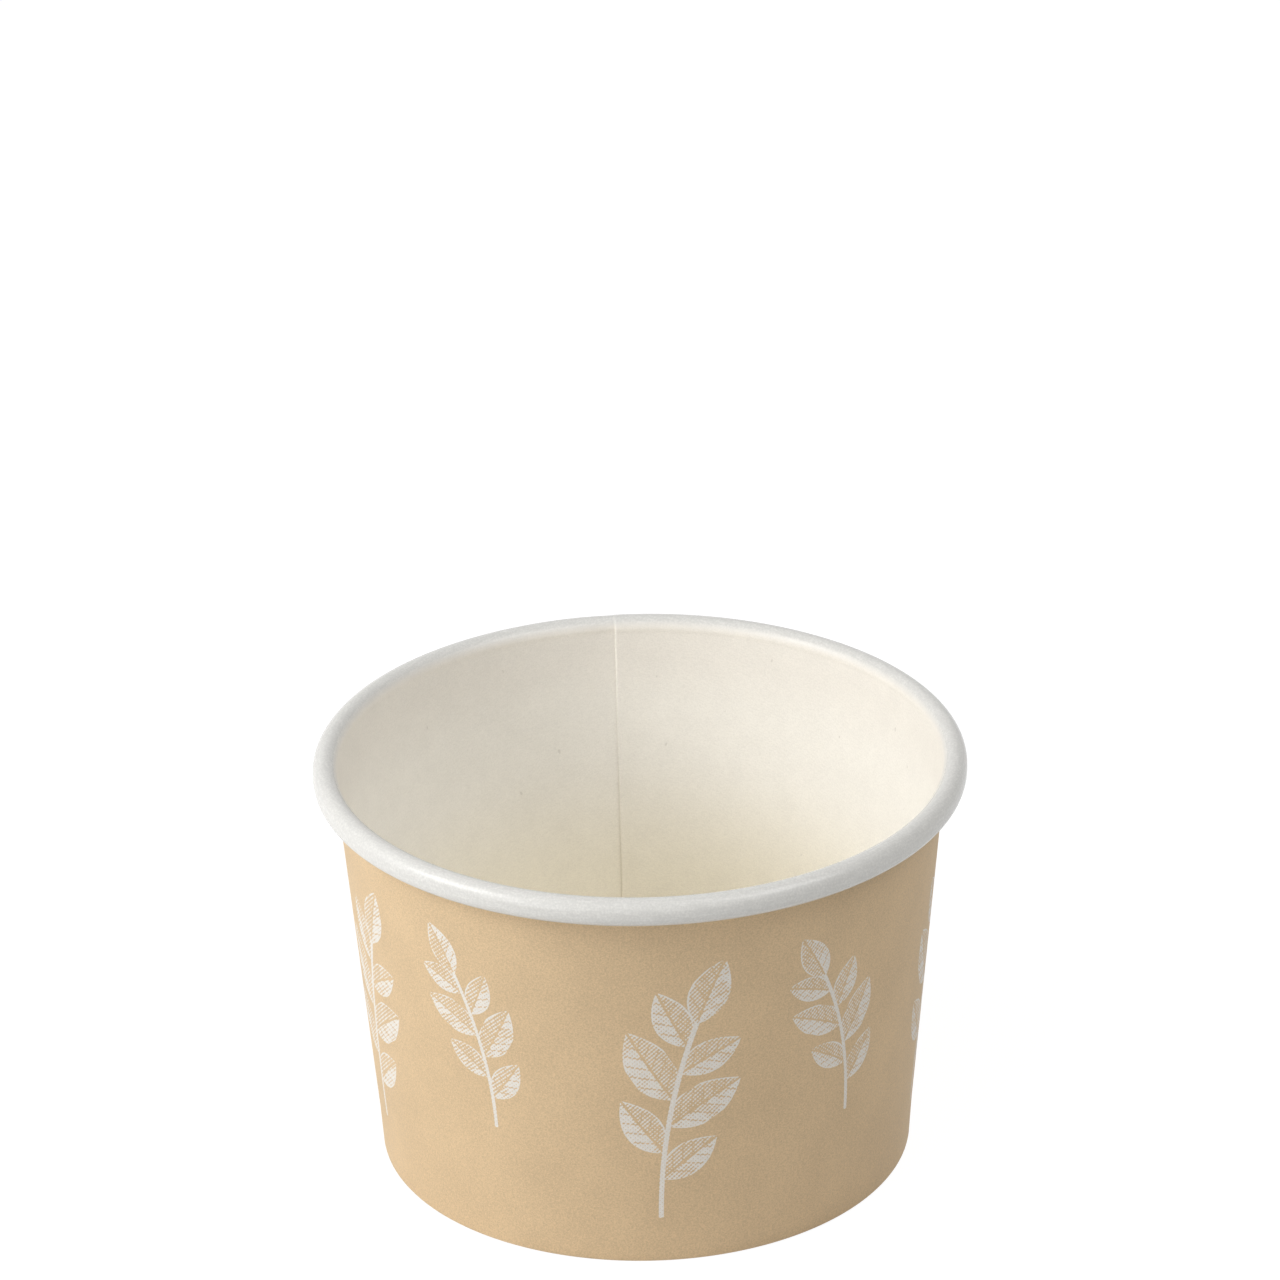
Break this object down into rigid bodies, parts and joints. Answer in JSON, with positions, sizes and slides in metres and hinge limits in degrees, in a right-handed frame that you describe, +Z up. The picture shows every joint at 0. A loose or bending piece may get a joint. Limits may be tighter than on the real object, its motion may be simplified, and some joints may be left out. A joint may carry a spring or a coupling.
{
  "type": "paper food container",
  "caption": "Round paper food container with a tapered board wall, rolled rim, lapped side seam, and a recessed base disc held by a folded hem.",
  "frame": {"origin": "centre of the foot, at the level of the table", "axes": "+Z up along the axis of the cup, +Y towards the side seam, +X to the right when the seam is at the back"},
  "size_m": [0.0898, 0.09, 0.0592],
  "materials": {
    "printed_board": "matte",
    "base_board": "matte"
  },
  "bodies": {
    "root": {"side_wall": "printed_board", "base_disc": "base_board"}
  },
  "joints": []
}
